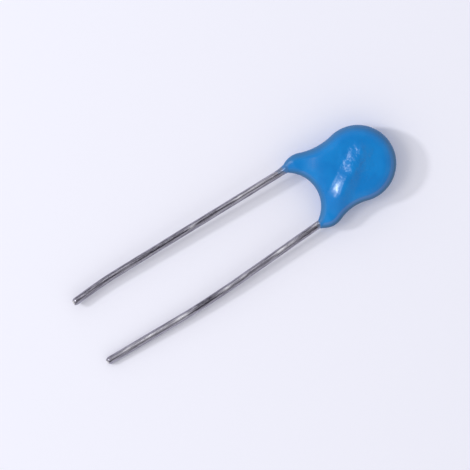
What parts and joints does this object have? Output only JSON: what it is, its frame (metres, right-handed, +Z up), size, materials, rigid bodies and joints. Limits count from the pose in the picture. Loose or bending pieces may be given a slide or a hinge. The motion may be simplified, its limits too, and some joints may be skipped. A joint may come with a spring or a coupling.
{
  "type": "ceramic disc capacitor",
  "caption": "Dip-coated ceramic disc capacitor: a round glossy head on long parallel wire leads, for soldering into a circuit board.",
  "frame": {"origin": "middle of the capacitor's footprint, on the surface that it lies on", "axes": "+X from the tips of the leads to the head, +Y towards the rear lead, which passes under the disc, +Z up"},
  "size_m": [0.0278, 0.0064, 0.0028],
  "materials": {
    "epoxy_coating": "gloss",
    "ceramic_disc": "matte",
    "front_electrode": "matte",
    "rear_electrode": "matte",
    "front_solder": "satin",
    "rear_solder": "satin",
    "front_lead": "satin",
    "rear_lead": "satin"
  },
  "bodies": {
    "root": {"epoxy_coating": "epoxy_coating", "ceramic_disc": "ceramic_disc", "front_electrode": "front_electrode", "rear_electrode": "rear_electrode", "front_solder": "front_solder", "rear_solder": "rear_solder", "front_lead": "front_lead", "rear_lead": "rear_lead"}
  },
  "joints": []
}
